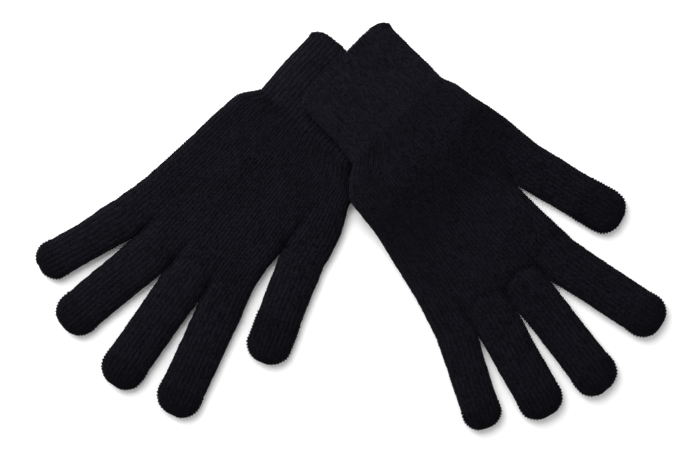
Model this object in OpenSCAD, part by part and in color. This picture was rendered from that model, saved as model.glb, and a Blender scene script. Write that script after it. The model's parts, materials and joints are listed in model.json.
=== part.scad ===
// A pair of knitted touchscreen gloves laid flat, the right one's cuff across the left one's.
// Each glove is a hollow knitted shell: a ribbed cuff with a turned mouth edge and an elastic
// band, a short wrist, a hand, and five fingers that end in conductive touch tips.
// The shell is split where the real glove folds: at the wrist, at the finger roots, and
// twice along each finger (once along the thumb). Every fold line lies in the top surface.
// Millimetres, +Z up, table at z = 0.

/* [Glove] */
// width of the flattened cuff
cuff_w = 62; // [50:0.5:74]
// length of the cuff from its mouth to the wrist
cuff_len = 43.5; // [34:0.5:54]
// length of the wrist, from the cuff's end to the wrist fold
wrist_len = 14.5; // [11:0.5:18]
// width across the heel of the hand at the wrist fold
heel_w = 84; // [69:0.5:100]
// length of the hand, from the wrist fold to the crotch of the ring and middle fingers
palm_len = 90.5; // [75:0.5:109]
// height of the glove as it lies, with a little air inside
loft_h = 9; // [7.4:0.1:11]
// thickness of the knitted fabric
wall = 1.4; // [1.1:0.02:1.7]
// how far the rounded side edges reach in
edge_r = 5.4; // [4.2:0.1:6]

/* [Fingers] */
// width of a flattened finger
finger_w = 23.2; // [20:0.5:28]
// width of the flattened little finger
pinky_w = 20; // [17:0.5:24]
// width of the flattened thumb
thumb_w = 23.2; // [20:0.1:28]
// how much wider a finger is at its root
root_flare = 0.4; // [0.2:0.1:2]
// length of the middle finger, from its root fold
middle_len = 64.5; // [54:0.5:78]
// length of the index finger
index_len = 63; // [52:0.5:76]
// length of the ring finger
ring_len = 59.5; // [50:0.5:72]
// length of the little finger
pinky_len = 52; // [43:0.5:63]
// length of the thumb
thumb_len = 57.5; // [48:0.5:69]
// how far along a finger its middle fold lies
mid_fold = 0.42; // [0.36:0.01:0.48]
// how far along a finger its touch tip starts
tip_fold = 0.76; // [0.7:0.01:0.82]
// how far along the thumb its touch tip starts
thumb_fold = 0.56; // [0.5:0.01:0.64]
// open gap left at each fold line
fold_gap = 0.4; // [0.3:0.05:0.6]

/* [Cuff fittings] */
// length of the turned edge at the mouth
hem_len = 4; // [3:0.1:5.5]
// how much the turned edge stands out at each side
hem_out = 0.7; // [0.3:0.1:1]
// distance from the mouth to the elastic band
band_in = 9; // [7:0.5:12]
// length of the elastic band along the cuff
band_len = 22; // [16:0.5:26]
// thickness of the elastic band
band_t = 0.6; // [0.4:0.05:0.7]

/* [How the left glove lies] */
// which way the left glove's fingers point
left_heading = 227.4; // [200:0.1:250]
// middle of the left cuff's mouth
left_mouth = [5.6, 82.4]; // [-120:0.1:120]
// lean of little, ring, middle and index fingers and thumb, towards the thumb
left_lean = [-18, -7.6, 7.8, 18, 21.8]; // [-40:0.1:40]
// crotch of the ring and middle fingers, thumbward of the cuff's middle
left_crotch = -4.6; // [-30:0.1:10]
// middle of the heel, thumbward of the cuff's middle
left_heel = 1.5; // [-8:0.1:8]
// how far up the hand the thumb's crotch lies
left_thumb_at = 0.465; // [0.44:0.005:0.62]
// how far the thumb's crotch lies in from the index finger's outer side
left_thumb_in = 7.4; // [0:0.1:12]

/* [How the right glove lies] */
// which way the right glove's fingers point
right_heading = -45.6; // [-70:0.1:-20]
// middle of the right cuff's mouth
right_mouth = [-6.1, 85.9]; // [-120:0.1:120]
// lean of little, ring, middle and index fingers and thumb, towards the thumb
right_lean = [-26, -15, -6.6, 12.2, 14.9]; // [-40:0.1:40]
// crotch of the ring and middle fingers, thumbward of the cuff's middle
right_crotch = -24.5; // [-40:0.1:0]
// middle of the heel, thumbward of the cuff's middle
right_heel = -5.7; // [-8:0.1:8]
// how far up the hand the thumb's crotch lies
right_thumb_at = 0.54; // [0.44:0.005:0.62]
// how far the thumb's crotch lies in from the index finger's outer side
right_thumb_in = 1; // [0:0.1:12]
// how much longer the right hand has been pulled
right_stretch = 7; // [0:0.5:9]
// clearance between the two cuffs where they cross
stack_gap = 0.3; // [0.2:0.05:0.6]

/* [Hidden] */
fold_v = cuff_len + wrist_len;              // the wrist fold, from the mouth
edge_g = 0.12;                              // how far a side edge stays open
stack_z = loft_h + stack_gap;               // the right cuff lies this high
arc = [0, 30, 60, 90];                      // steps round a side edge
lens = [pinky_len, ring_len, middle_len, index_len, thumb_len];
wide = [pinky_w, finger_w, finger_w, finger_w, thumb_w];
// a glove's lay: heading, mouth, leans, crotch, heel, thumb_at, thumb_in, stretch, base height
lay_l = [left_heading, left_mouth, left_lean, left_crotch, left_heel,
         left_thumb_at, left_thumb_in, 0, 0];
lay_r = [right_heading, right_mouth, right_lean, right_crotch, right_heel,
         right_thumb_at, right_thumb_in, right_stretch, stack_z];

// Plan points are [thumbward, away from the mouth].
function across(a) = [cos(a), -sin(a)];     // thumbward along a fold line
function along(a) = [sin(a), cos(a)];       // out along a finger
function root_w(i) = wide[i] + root_flare;
// the ends of the root folds, little finger's outer side first
function crotch(g, i) =
  i == 2 ? [g[3], fold_v + palm_len + g[7]] :
  i < 2 ? crotch(g, i + 1) - root_w(i) * across(g[2][i]) :
  crotch(g, i - 1) + root_w(i - 1) * across(g[2][i - 1]);
function thumb_in(g) = [crotch(g, 4)[0] - g[6], fold_v + g[5] * (palm_len + g[7])];
function thumb_out(g) = thumb_in(g) + root_w(4) * across(g[2][4]);
function root_mid(g, i) = i < 4 ? (crotch(g, i) + crotch(g, i + 1)) / 2
  : (thumb_in(g) + thumb_out(g)) / 2;

// Height of the underside: the right glove slopes down from the crossing to the table.
slope_a = 4;
slope_b = 46;
function ease(x) = let (c = min(1, max(0, x))) c * c * (3 - 2 * c);
function floor_z(g, v) = g[8] * (1 - ease((v - fold_v - slope_a) / (slope_b - slope_a)));

function g_edge(d, r) = d >= r ? 1 : max(edge_g, sqrt(max(0, 1 - pow(1 - d / r, 2))));
function to3(p, z) = [-p[0], p[1], z];

// One flattened ring: middle, lean, width, base height, height, edge radius.
function ring(p, a, w, z, h, r) =
  let (d = [for (t = arc) r * (1 - cos(t))], k = [for (t = arc) max(edge_g, sin(t))],
       q = concat([for (i = [0:3]) -w / 2 + d[i]], [for (i = [3:-1:0]) w / 2 - d[i]]),
       m = concat(k, [for (i = [3:-1:0]) k[i]]))
  concat([for (i = [0:7]) to3(p + q[i] * across(a), z + h / 2 * (1 + m[i]))],
         [for (i = [7:-1:0]) to3(p + q[i] * across(a), z + h / 2 * (1 - m[i]))]);

// Sides between successive rings of n points that start at index b.
function sides(b, n, count, flip) = [for (j = [0:count - 2]) for (i = [0:n - 1])
  let (p = b + j * n + i, q = b + j * n + (i + 1) % n)
  each flip ? [[p, q, q + n], [p, q + n, p + n]] : [[p, q + n, q], [p, p + n, q + n]]];
function collar(a, b, n, flip) = [for (i = [0:n - 1]) let (j = (i + 1) % n)
  each flip ? [[a + i, b + i, b + j], [a + i, b + j, a + j]]
            : [[a + i, b + j, b + i], [a + i, a + j, b + j]]];
function lid(a, n, flip) = [flip ? [for (i = [0:n - 1]) a + i] : [for (i = [n - 1:-1:0]) a + i]];

// A tube of flattened rings, open at its first end, and at its last end unless it is shut.
module tube(outer, inner, shut = false) {
  n = len(outer[0]);
  b = n * len(outer);
  polyhedron(points = [for (r = concat(outer, inner)) each r], faces = concat(
    sides(0, n, len(outer), true), sides(b, n, len(inner), false),
    collar(0, b, n, true),
    shut ? concat(lid(b - n, n, true), lid(b + n * (len(inner) - 1), n, false))
         : collar(b - n, b + n * (len(inner) - 1), n, false)), convexity = 6);
}

// Width and height of a finger at distance s from its root.
function slim(i, s) = wide[i] + root_flare * (1 - ease(s / (0.36 * lens[i])));
module finger_part(g, i, s0, s1) {
  a = g[2][i];
  c = root_mid(g, i);
  z = floor_z(g, c[1]);
  mids = [s0 + fold_gap / 2, (s0 + s1) / 2, s1 - fold_gap / 2];
  tube([for (s = mids) ring(c + s * along(a), a, slim(i, s), z, loft_h, edge_r)],
       [for (s = mids) ring(c + s * along(a), a, slim(i, s) - 2 * wall, z + wall,
                            loft_h - 2 * wall, edge_r - wall)]);
}
// The closed end of a finger.
module finger_tip(g, i, s0) {
  a = g[2][i];
  c = root_mid(g, i);
  z = floor_z(g, c[1]);
  l = lens[i];
  bend = [0, 28, 50, 68, 82];
  function at(len_, w) = concat([[s0 + fold_gap / 2, w]],
    [for (b = bend) [len_ - 0.46 * wide[i] * (1 - sin(b)), w * pow(cos(b), 0.9)]]);
  function lift(len_, s, h) = h * max(0.3, g_edge(len_ - s + 0.4, 6.4));
  outer = at(l, wide[i]);
  inner = at(l - wall, wide[i] - 2 * wall);
  tube([for (q = outer) let (h = lift(l, q[0], loft_h))
          ring(c + q[0] * along(a), a, q[1], z + (loft_h - h) / 2, h, min(edge_r, q[1] * 0.46))],
       [for (q = inner) let (h = lift(l - wall, q[0], loft_h - 2 * wall))
          ring(c + q[0] * along(a), a, q[1], z + (loft_h - h) / 2, h,
               min(edge_r - wall, q[1] * 0.44))], true);
}

// The cuff's flattened rings, wider at the turned edge.
module cuff(g) {
  v = [hem_len, cuff_len / 2, cuff_len];
  tube([for (s = v) ring([0, s], 0, cuff_w, g[8], loft_h, edge_r)],
       [for (s = v) ring([0, s], 0, cuff_w - 2 * wall, g[8] + wall, loft_h - 2 * wall,
                         edge_r - wall)]);
}
module cuff_hem(g) {
  v = [[0, -0.9], [0.7, 0.2], [hem_len / 2, 1], [hem_len - 0.7, 0.6], [hem_len, 0]];
  tube([for (s = v) ring([0, s[0]], 0, cuff_w + 2 * hem_out * s[1], g[8] + max(0, -s[1]) / 2,
                         loft_h - max(0, -s[1]), edge_r)],
       [for (s = v) ring([0, s[0]], 0, cuff_w - 2 * wall - 0.8, g[8] + wall + 0.4,
                         loft_h - 2 * wall - 0.8, edge_r - wall)]);
}
module cuff_elastic(g) {
  skin = wall + 0.05;
  deep = skin + band_t;
  v = [band_in, band_in + band_len];
  tube([for (s = v) ring([0, s], 0, cuff_w - 2 * skin, g[8] + skin, loft_h - 2 * skin,
                         edge_r - wall)],
       [for (s = v) ring([0, s], 0, cuff_w - 2 * deep, g[8] + deep, loft_h - 2 * deep,
                         edge_r - wall)]);
}
// The wrist widens from the cuff to the heel of the hand.
module wrist(g) {
  s = [0, 0.25, 0.6, 1];
  function mid(f) = [g[4] * ease(f), cuff_len + f * (wrist_len - fold_gap / 2)];
  function w(f) = cuff_w + (heel_w - cuff_w) * pow(sin(f * 90), 1.1);
  tube([for (f = s) ring(mid(f), 0, w(f), g[8], loft_h, edge_r)],
       [for (f = s) ring(mid(f), 0, w(f) - 2 * wall, g[8] + wall, loft_h - 2 * wall,
                         edge_r - wall)]);
}

// The hand: an upper and a lower sheet, each with an outer and an inner face, on a grid of
// columns (little to index finger, then the thumb) and rows (wrist fold to root folds).
rows = [0, 0.17, 0.34, 0.52, 0.7, 0.85, 0.95, 1];
jt = 3;                                     // the thumb's root fold is this row
cols = 7;                                   // columns to a finger
function bow(a, b, k, f) = a + (b - a) * f + [k * 4 * f * (1 - f), 0];
// plan point of dividing line i (0 little finger's side .. 4 index side, 5 thumb's side), row j
function line_at(g, i, j) =
  let (w0 = [g[4] - heel_w / 2, fold_v], f = rows[j], e = fold_gap / 2,
       foot = w0 + [heel_w * [0, 0.19, 0.395, 0.6, 0.8, 1][i], e])
  i < 4 ? bow(foot, crotch(g, i) - e * along(g[2][max(i - 1, 0)]), i == 0 ? 2.3 : 0, f) :
  i == 4 ? (j <= jt ? bow(foot, thumb_in(g) - e * along(g[2][4]), 0, f / rows[jt]) :
    bow(thumb_in(g), crotch(g, 4) - e * along(g[2][3]), -min(2.5, g[6] / 4),
        (f - rows[jt]) / (1 - rows[jt]))) :
  bow(foot, thumb_out(g) - e * along(g[2][4]), 0, f / rows[jt]);
// how tightly line i is pinched at row j
function pinch(i, j) = i == 0 || i == 5 ? 1 :
  i == 4 ? (j >= jt ? 1 : [0, 0.06, 0.35][j]) : pow(max(0, (rows[j] - 0.5) / 0.5), 2.6);
// the four corner heights at column c of strip i: outer and inner, above and below
function spot(g, i, c, j, inside) =
  let (a0 = line_at(g, i, j), b0 = line_at(g, i + 1, j), w0 = norm(b0 - a0), u = (b0 - a0) / w0,
       ka = i == 0 || (i == 4 && j == jt) ? 1 : 0,
       kb = i == 4 || (i == 3 && j >= jt) ? 1 : 0,
       t = inside ? wall : 0, a = a0 + u * t * ka, w = w0 - t * (ka + kb),
       r = min(edge_r - t, w * 0.46),
       d = c < 4 ? r * (1 - cos(arc[c])) : w - r * (1 - cos(arc[7 - c])),
       pa = pinch(i, j), pb = pinch(i + 1, j),
       m = (1 - pa * (1 - g_edge(d, r))) * (1 - pb * (1 - g_edge(w - d, r))),
       h = inside ? max(0.3, (loft_h / 2 - t) * m) : loft_h / 2 * max(m, edge_g),
       p = a + u * d, z = floor_z(g, p[1]) + loft_h / 2)
  [to3(p, z + h), to3(p, z - h)];
module hand(g) {
  nr = len(rows);
  mc = 4 * cols + 1;                        // points across the four fingers
  tc = cols;                                // further points across the thumb
  // sheet k: 0 outer top, 1 outer bottom, 2 inner top, 3 inner bottom
  main = [for (k = [0:3]) for (j = [0:nr - 1]) for (c = [0:mc - 1])
    let (i = min(3, floor(c / cols))) spot(g, i, c - i * cols, j, k > 1)[k % 2]];
  extra = [for (k = [0:3]) for (j = [0:jt]) for (c = [1:tc]) spot(g, 4, c, j, k > 1)[k % 2]];
  web = [for (k = [0, 1]) spot(g, 4, 0, jt, true)[k]];
  nm = 4 * nr * mc;
  nx = 4 * (jt + 1) * tc;
  function m(k, j, c) = (k * nr + j) * mc + c;
  // thumb point: column 0 is the hand's last column, except inside at the thumb's root
  function x(k, j, c) = c > 0 ? nm + (k * (jt + 1) + j) * tc + c - 1
    : k > 1 && j == jt ? nm + nx + k - 2 : m(k, j, mc - 1);
  function quad(a, b, c, d, flip) = flip ? [[a, c, b], [a, d, c]] : [[a, b, c], [a, c, d]];
  polyhedron(points = concat(main, extra, web), faces = concat(
    [for (k = [0:3]) for (j = [0:nr - 2]) for (c = [0:mc - 2]) each
      quad(m(k, j, c), m(k, j, c + 1), m(k, j + 1, c + 1), m(k, j + 1, c), k == 1 || k == 2)],
    [for (k = [0:3]) for (j = [0:jt - 1]) for (c = [0:tc - 1]) each
      quad(x(k, j, c), x(k, j, c + 1), x(k, j + 1, c + 1), x(k, j + 1, c), k == 1 || k == 2)],
    // the inside corner of the thumb's crotch
    [for (k = [2, 3]) let (a = m(k, jt - 1, mc - 1), b = x(k, jt, 0), c = m(k, jt, mc - 1))
      k == 2 ? [a, c, b] : [a, b, c]],
    quad(m(2, jt, mc - 1), x(2, jt, 0), x(3, jt, 0), m(3, jt, mc - 1), true),
    // wrist fold
    [for (k = [0, 1]) for (c = [0:mc - 2]) each
      quad(m(k, 0, c), m(k + 2, 0, c), m(k + 2, 0, c + 1), m(k, 0, c + 1), k == 1)],
    [for (k = [0, 1]) for (c = [0:tc - 1]) each
      quad(x(k, 0, c), x(k + 2, 0, c), x(k + 2, 0, c + 1), x(k, 0, c + 1), k == 1)],
    quad(m(0, 0, 0), m(1, 0, 0), m(3, 0, 0), m(2, 0, 0), false),
    quad(x(0, 0, tc), x(1, 0, tc), x(3, 0, tc), x(2, 0, tc), true),
    // finger roots
    [for (k = [0, 1]) for (c = [0:mc - 2]) each
      quad(m(k, nr - 1, c), m(k + 2, nr - 1, c), m(k + 2, nr - 1, c + 1), m(k, nr - 1, c + 1),
           k == 0)],
    quad(m(0, nr - 1, 0), m(1, nr - 1, 0), m(3, nr - 1, 0), m(2, nr - 1, 0), true),
    quad(m(0, nr - 1, mc - 1), m(1, nr - 1, mc - 1), m(3, nr - 1, mc - 1), m(2, nr - 1, mc - 1),
         false),
    // thumb root
    [for (k = [0, 1]) for (c = [0:tc - 1]) each
      quad(x(k, jt, c), x(k + 2, jt, c), x(k + 2, jt, c + 1), x(k, jt, c + 1), k == 0)],
    quad(x(0, jt, 0), x(1, jt, 0), x(3, jt, 0), x(2, jt, 0), true),
    quad(x(0, jt, tc), x(1, jt, tc), x(3, jt, tc), x(2, jt, tc), false),
    // side edges, outer then inner
    [for (j = [0:nr - 2]) each quad(m(0, j, 0), m(0, j + 1, 0), m(1, j + 1, 0), m(1, j, 0), false)],
    [for (j = [0:nr - 2]) each quad(m(2, j, 0), m(2, j + 1, 0), m(3, j + 1, 0), m(3, j, 0), true)],
    [for (j = [jt:nr - 2]) let (c = mc - 1) each
      quad(m(0, j, c), m(0, j + 1, c), m(1, j + 1, c), m(1, j, c), true)],
    [for (j = [jt:nr - 2]) let (c = mc - 1) each
      quad(m(2, j, c), m(2, j + 1, c), m(3, j + 1, c), m(3, j, c), false)],
    [for (j = [0:jt - 1]) each quad(x(0, j, tc), x(0, j + 1, tc), x(1, j + 1, tc), x(1, j, tc), true)],
    [for (j = [0:jt - 1]) each
      quad(x(2, j, tc), x(2, j + 1, tc), x(3, j + 1, tc), x(3, j, tc), false)]
    ), convexity = 8);
}

// Put a glove's own frame where it lies.
module lie(g) {
  translate([g[1][0], g[1][1], 0]) rotate([0, 0, g[0] - 90]) children();
}
knit = [0.13, 0.13, 0.16];
ribbed = [0.17, 0.17, 0.2];
touch = [0.22, 0.22, 0.26];
rubber = [0.45, 0.42, 0.36];

module seg(g, i, part) {
  l = lens[i];
  color(part == "touch_tip" ? touch : knit) lie(g)
    if (part == "base") finger_part(g, i, 0, l * (i == 4 ? thumb_fold : mid_fold));
    else if (part == "middle") finger_part(g, i, l * mid_fold, l * tip_fold);
    else finger_tip(g, i, l * (i == 4 ? thumb_fold : tip_fold));
}

module left_cuff() { color(ribbed) lie(lay_l) cuff(lay_l); }
module left_cuff_hem() { color(ribbed) lie(lay_l) cuff_hem(lay_l); }
module left_cuff_elastic() { color(rubber) lie(lay_l) cuff_elastic(lay_l); }
module left_wrist() { color(knit) lie(lay_l) wrist(lay_l); }
module left_hand() { color(knit) lie(lay_l) hand(lay_l); }
module left_thumb_base() { seg(lay_l, 4, "base"); }
module left_thumb_touch_tip() { seg(lay_l, 4, "touch_tip"); }
module left_index_base() { seg(lay_l, 3, "base"); }
module left_index_middle() { seg(lay_l, 3, "middle"); }
module left_index_touch_tip() { seg(lay_l, 3, "touch_tip"); }
module left_middle_base() { seg(lay_l, 2, "base"); }
module left_middle_middle() { seg(lay_l, 2, "middle"); }
module left_middle_touch_tip() { seg(lay_l, 2, "touch_tip"); }
module left_ring_base() { seg(lay_l, 1, "base"); }
module left_ring_middle() { seg(lay_l, 1, "middle"); }
module left_ring_touch_tip() { seg(lay_l, 1, "touch_tip"); }
module left_pinky_base() { seg(lay_l, 0, "base"); }
module left_pinky_middle() { seg(lay_l, 0, "middle"); }
module left_pinky_touch_tip() { seg(lay_l, 0, "touch_tip"); }
module right_cuff() { color(ribbed) lie(lay_r) cuff(lay_r); }
module right_cuff_hem() { color(ribbed) lie(lay_r) cuff_hem(lay_r); }
module right_cuff_elastic() { color(rubber) lie(lay_r) cuff_elastic(lay_r); }
module right_wrist() { color(knit) lie(lay_r) wrist(lay_r); }
module right_hand() { color(knit) lie(lay_r) hand(lay_r); }
module right_thumb_base() { seg(lay_r, 4, "base"); }
module right_thumb_touch_tip() { seg(lay_r, 4, "touch_tip"); }
module right_index_base() { seg(lay_r, 3, "base"); }
module right_index_middle() { seg(lay_r, 3, "middle"); }
module right_index_touch_tip() { seg(lay_r, 3, "touch_tip"); }
module right_middle_base() { seg(lay_r, 2, "base"); }
module right_middle_middle() { seg(lay_r, 2, "middle"); }
module right_middle_touch_tip() { seg(lay_r, 2, "touch_tip"); }
module right_ring_base() { seg(lay_r, 1, "base"); }
module right_ring_middle() { seg(lay_r, 1, "middle"); }
module right_ring_touch_tip() { seg(lay_r, 1, "touch_tip"); }
module right_pinky_base() { seg(lay_r, 0, "base"); }
module right_pinky_middle() { seg(lay_r, 0, "middle"); }
module right_pinky_touch_tip() { seg(lay_r, 0, "touch_tip"); }

left_cuff();
left_cuff_hem();
left_cuff_elastic();
left_wrist();
left_hand();
left_thumb_base();
left_thumb_touch_tip();
left_index_base();
left_index_middle();
left_index_touch_tip();
left_middle_base();
left_middle_middle();
left_middle_touch_tip();
left_ring_base();
left_ring_middle();
left_ring_touch_tip();
left_pinky_base();
left_pinky_middle();
left_pinky_touch_tip();
right_cuff();
right_cuff_hem();
right_cuff_elastic();
right_wrist();
right_hand();
right_thumb_base();
right_thumb_touch_tip();
right_index_base();
right_index_middle();
right_index_touch_tip();
right_middle_base();
right_middle_middle();
right_middle_touch_tip();
right_ring_base();
right_ring_middle();
right_ring_touch_tip();
right_pinky_base();
right_pinky_middle();
right_pinky_touch_tip();
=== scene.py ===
# %% [markdown]
# # A pair of knitted touchscreen gloves
# The gloves lie flat, one cuff across the other. The real ones are knitted in one piece on a
# fine machine: plain stitches for the hand and fingers, a rib for the cuff. This script knits
# them again as surfaces: every row and column of the mesh follows a real row and column of
# stitches, so the cloth's relief, its folds and its shading all come from the same grid. A
# smooth glove with a bump map would be less work, but its outline would be smooth too, and a
# knitted outline is full of small loops.
#
# Two of a knitter's words are used throughout. A *wale* is a column of stitches, which runs along
# a finger. A *course* is a row of stitches, which runs round it.

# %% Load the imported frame
import json
import math
import bmesh
import bpy
import numpy as np
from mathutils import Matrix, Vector


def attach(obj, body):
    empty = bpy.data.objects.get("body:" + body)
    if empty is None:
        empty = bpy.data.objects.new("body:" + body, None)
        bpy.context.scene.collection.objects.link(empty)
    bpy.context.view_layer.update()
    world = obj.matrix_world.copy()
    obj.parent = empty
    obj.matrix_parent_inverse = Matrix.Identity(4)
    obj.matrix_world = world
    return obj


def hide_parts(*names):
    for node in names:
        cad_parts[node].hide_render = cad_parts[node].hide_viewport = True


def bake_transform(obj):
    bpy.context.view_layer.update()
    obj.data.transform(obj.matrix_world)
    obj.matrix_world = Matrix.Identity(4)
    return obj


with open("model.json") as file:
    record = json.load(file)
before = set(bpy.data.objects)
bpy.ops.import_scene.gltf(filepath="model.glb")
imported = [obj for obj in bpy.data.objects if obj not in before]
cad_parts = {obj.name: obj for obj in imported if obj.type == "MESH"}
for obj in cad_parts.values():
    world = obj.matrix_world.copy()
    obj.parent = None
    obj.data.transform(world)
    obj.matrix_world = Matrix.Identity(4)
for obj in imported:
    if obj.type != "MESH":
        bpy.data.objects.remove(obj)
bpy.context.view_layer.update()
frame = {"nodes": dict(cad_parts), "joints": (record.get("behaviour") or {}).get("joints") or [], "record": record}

# %% [markdown]
# ## Where each glove lies
# The frame gives the mouth of each cuff and every fold line. From them come each glove's own
# axes: *thumbward* across the palm, *away* along it from the mouth, and *up*. All shapes are
# worked out in those axes, as t, v and z, and then put in place. Working this way, one
# description of a glove serves both, although they lie at different angles. (tt and vv are
# whole grids of t and v.)

# %% Joints, mouths and a node's points
JOINTS = {joint["name"]: joint for joint in frame["joints"]}
MOUNTS = {mount["name"]: mount for mount in frame["record"]["mounts"]}
FINGERS = ["pinky", "ring", "middle", "index"]
NEAR_FOLD = 0.001                   # a node's points this close to a fold line are its end


def node_points(name):
    """A CAD node's vertices, as an array."""
    mesh = frame["nodes"][name].data
    co = np.empty(len(mesh.vertices) * 3)
    mesh.vertices.foreach_get("co", co)
    return co.reshape(-1, 3)


# %% [markdown]
# `Lay` reads one glove from the frame: how wide and high its cuff is, how wide the heel of the
# hand is at the wrist fold, and for each digit its root, direction, fold distances, length and
# widths. Nothing is typed in here, so the cloth follows the frame if a size changes.

# %% One glove's layout
class Lay:
    """One glove's own axes, its fold lines and its widths."""

    def __init__(self, side):
        self.side = side
        mount = MOUNTS[side + "_cuff_mouth"]
        self.mouth = np.array(mount["pos_m"])
        self.away = -np.array(mount["axis"])
        self.thumbward = np.array([-self.away[1], self.away[0], 0])
        cuff = self.local(node_points(side + "_cuff"))
        self.height = np.ptp(cuff[:, 2])
        self.cuff_half = np.ptp(cuff[:, 0]) / 2
        self.cuff_end = cuff[:, 1].max()
        wrist = self.local(node_points(side + "_wrist"))
        self.fold = self.local(JOINTS[side + "_wrist_fold"]["pos_m"])[1]
        heel = wrist[wrist[:, 1] > self.fold - NEAR_FOLD]
        self.heel = (heel[:, 0].min(), heel[:, 0].max())
        self.digits = {name: self.digit(name) for name in FINGERS + ["thumb"]}

    def local(self, p):
        """Frame points in the glove's axes; up is measured from the cuff's mid height."""
        q = np.asarray(p, float) - self.mouth
        return np.stack([q @ self.thumbward, q @ self.away, q[..., 2]], -1)

    def world(self, t, v, z):
        """Glove coordinates back in the frame."""
        out = (self.mouth + np.multiply.outer(t, self.thumbward)
               + np.multiply.outer(v, self.away))
        out[..., 2] += z
        return out

    def digit(self, name):
        """Root, direction, width, fold distances and length of a finger or the thumb."""
        steps = ["root", "tip"] if name == "thumb" else ["root", "middle", "tip"]
        hinges = [JOINTS[f"{self.side}_{name}_{step}_fold"] for step in steps]
        at = [self.local(hinge["pos_m"]) for hinge in hinges]
        along = (at[-1] - at[0])[:2]
        along /= np.linalg.norm(along)
        across = np.array([along[1], -along[0]])
        tip = self.local(node_points(f"{self.side}_{name}_touch_tip"))[:, :2] - at[0][:2]
        base = self.local(node_points(f"{self.side}_{name}_base"))[:, :2] - at[0][:2]
        root = base[base @ along < NEAR_FOLD] @ across
        return {"root": at[0][:2], "along": along, "across": across,
                "folds": [float((a[:2] - at[0][:2]) @ along) for a in at],
                "length": float((tip @ along).max()),
                "half": float(np.ptp(tip @ across) / 2),
                "root_half": float(np.ptp(root) / 2 + 0.0001),
                "top": float(at[0][2]), "hinges": hinges}


# %% [markdown]
# Both gloves are read the same way. The numbers printed here are a quick check that the frame
# says what a tape measure would.

# %% Read both gloves
LAYS = {side: Lay(side) for side in ("left", "right")}
for side, lay in LAYS.items():
    print(side, "cuff half width %.1f mm, fold at %.1f mm" % (lay.cuff_half * 1e3, lay.fold * 1e3),
          {n: round(d["length"] * 1e3, 1) for n, d in lay.digits.items()})

# %% [markdown]
# ## The camera
# The pair is seen from straight above, as goods are laid out to be sold. A long lens from high
# up keeps the gloves' outlines true, with hardly any of their sides showing.

# %% Camera
LENS, SENSOR = 85.0, 36.0           # both in mm
VIEW_WIDTH = 0.3668                 # of the table, seen from side to side
VIEW_CENTRE = (-0.0007, -0.0042)
CLOTH_LEVEL = 0.006                 # height at which the view is that wide
camera = bpy.data.objects.new("camera", bpy.data.cameras.new("camera"))
bpy.context.collection.objects.link(camera)
camera.data.lens, camera.data.sensor_width = LENS, SENSOR
camera.location = (*VIEW_CENTRE, VIEW_WIDTH * LENS / SENSOR + CLOTH_LEVEL)
camera.data.clip_start, camera.data.clip_end = 0.01, 20.0
bpy.context.scene.camera = camera
print("camera %.2f m above the table" % camera.location.z)


# %% [markdown]
# ## The light
# Black cloth shows its form only by where light catches it. A large soft lamp high on the
# upper left gives short shadows with soft edges, to the lower right. A second one, low on the
# same side, grazes the cloth, so each finger is lighter along its upper left and the creases
# read. Its long shadows are lost in the white of the table. A weak fill and an even white
# surround lift the rest.

# %% Lamps and surround
def area_light(name, place, size, power, aim=(0, 0, 0)):
    """A round soft lamp that points at a place and isn't seen itself."""
    lamp = bpy.data.lights.new(name, "AREA")
    lamp.shape, lamp.size, lamp.energy = "DISK", size, power
    thing = bpy.data.objects.new(name, lamp)
    thing.location = place
    thing.rotation_euler = (Vector(aim) - Vector(place)).to_track_quat("-Z", "Y").to_euler()
    thing.visible_camera = False
    bpy.context.collection.objects.link(thing)


area_light("key", (-0.30, 0.52, 0.84), size=0.80, power=11.5, aim=(-0.24, 0.36, 0))
area_light("low side", (-0.75, 0.72, 0.34), size=0.45, power=7.0)
area_light("fill", (0.5, -0.4, 1.0), size=0.9, power=0.8)
world = bpy.data.worlds.new("studio")
world.use_nodes = True
world.node_tree.nodes["Background"].inputs["Color"].default_value = (1.0, 1.0, 1.0, 1.0)
world.node_tree.nodes["Background"].inputs["Strength"].default_value = 0.60
bpy.context.scene.world = world
bpy.context.scene.view_settings.view_transform = "Standard"    # white stays white
print("three lamps and a white surround")


# %% [markdown]
# ## A small language for materials
# Shader maths reads best as ordinary expressions. `Wire` wraps one socket, and its operators
# add the Math nodes, so `1 - groove * 0.5` builds two nodes and gives back the last one. One
# method, `node`, makes any other node.

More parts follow.
